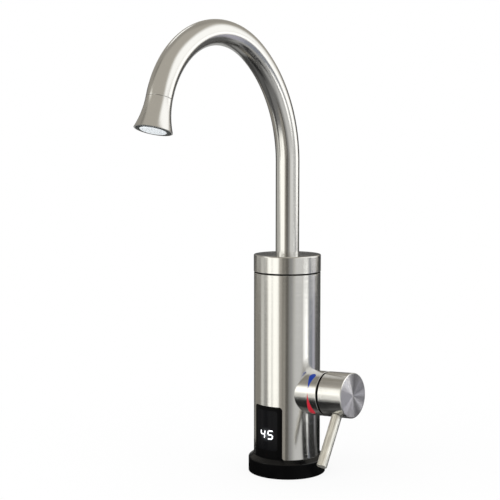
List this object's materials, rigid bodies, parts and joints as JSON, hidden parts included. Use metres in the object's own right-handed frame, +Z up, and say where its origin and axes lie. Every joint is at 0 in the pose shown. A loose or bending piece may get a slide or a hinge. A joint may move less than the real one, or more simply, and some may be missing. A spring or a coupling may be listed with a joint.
{
  "type": "electric instant water heater tap",
  "caption": "Deck-mounted kitchen tap with a tall swivelling gooseneck spout, a cylindrical steel body that holds an instant heater and display, and a lever valve on its side.",
  "frame": {"origin": "on the body's axis, in the plane of the worktop that the base stands on", "axes": "+Z up along the body, -Y the way the display faces and the spout reaches, +X the side that the valve stands out on"},
  "size_m": [0.1071, 0.2245, 0.4487],
  "materials": {
    "black_plastic": "satin moulded plastic",
    "smoked_lens": "dark glossy lens",
    "lit_segments": "lit white",
    "moulded_black": "fine matt",
    "circuit_board": "green solder mask",
    "brushed_body": "brushed round the body",
    "turned_steel": "fine turned",
    "spout_steel": "fine brushed along the tube",
    "spun_steel": "turned, with a spun face",
    "plain_steel": "plain stainless",
    "element_sheath": "annealed sheath",
    "brass_fitting": "machined brass",
    "black_rubber": "smooth",
    "white_plastic": "smooth",
    "white_ceramic": "lapped ceramic",
    "blue_enamel": "filled enamel",
    "red_enamel": "filled enamel"
  },
  "bodies": {
    "body": {"base_flange": "black_plastic", "display_window": "smoked_lens", "display_digits": "lit_segments", "display_module": "moulded_black", "control_board": "circuit_board", "power_board": "circuit_board", "body_shell": "brushed_body", "cap_seal": "black_rubber", "top_cap": "turned_steel", "swivel_bush": "white_plastic", "valve_collar": "turned_steel", "blue_mark": "blue_enamel", "red_mark": "red_enamel", "hub_wear_ring": "black_rubber", "inner_sleeve": "white_plastic", "heater_cup": "plain_steel", "heater_cover": "plain_steel", "heater_gasket": "black_rubber", "heater_coil": "element_sheath", "thermal_cutout": "moulded_black", "temperature_sensor": "plain_steel", "heater_pipe": "brass_fitting", "valve_body": "brass_fitting", "valve_cartridge": "white_plastic", "ceramic_seat": "white_ceramic", "cartridge_nut": "brass_fitting", "membrane": "black_rubber", "membrane_cover": "moulded_black", "micro_switch": "moulded_black", "inlet_shank": "brass_fitting", "deck_gasket": "black_rubber", "clamp_gasket": "black_rubber", "clamp_washer": "plain_steel", "lock_nut": "brass_fitting", "cable_gland": "black_rubber", "base_screws": "plain_steel"},
    "spout": {"spout_tube": "spout_steel", "nozzle_bell": "spout_steel", "aerator_housing": "moulded_black", "aerator_insert": "white_plastic", "aerator_washer": "black_rubber", "spout_connector": "brass_fitting", "spout_orings": "black_rubber", "retaining_ring": "plain_steel"},
    "handle": {"handle_hub": "spun_steel", "lever_rod": "spun_steel", "cartridge_spindle": "brass_fitting", "ceramic_rotor": "white_ceramic"},
    "plunger": {"switch_plunger": "white_plastic"}
  },
  "joints": [
    {"name": "spout_swivel", "type": "hinge", "parent": "body", "child": "spout", "pos_m": [0, 0, 0], "axis": [0, 0, 1], "continuous": true},
    {"name": "handle_turn", "type": "hinge", "parent": "body", "child": "handle", "pos_m": [0, 0, 0.073], "axis": [0.9981, 0, 0.061], "range_deg": [-124, 0]},
    {"name": "flow_switch_plunger", "type": "slide", "parent": "body", "child": "plunger", "axis": [-0.9981, 0, -0.061], "range_m": [0, 0.001], "stiffness_N_per_m": 200}
  ]
}
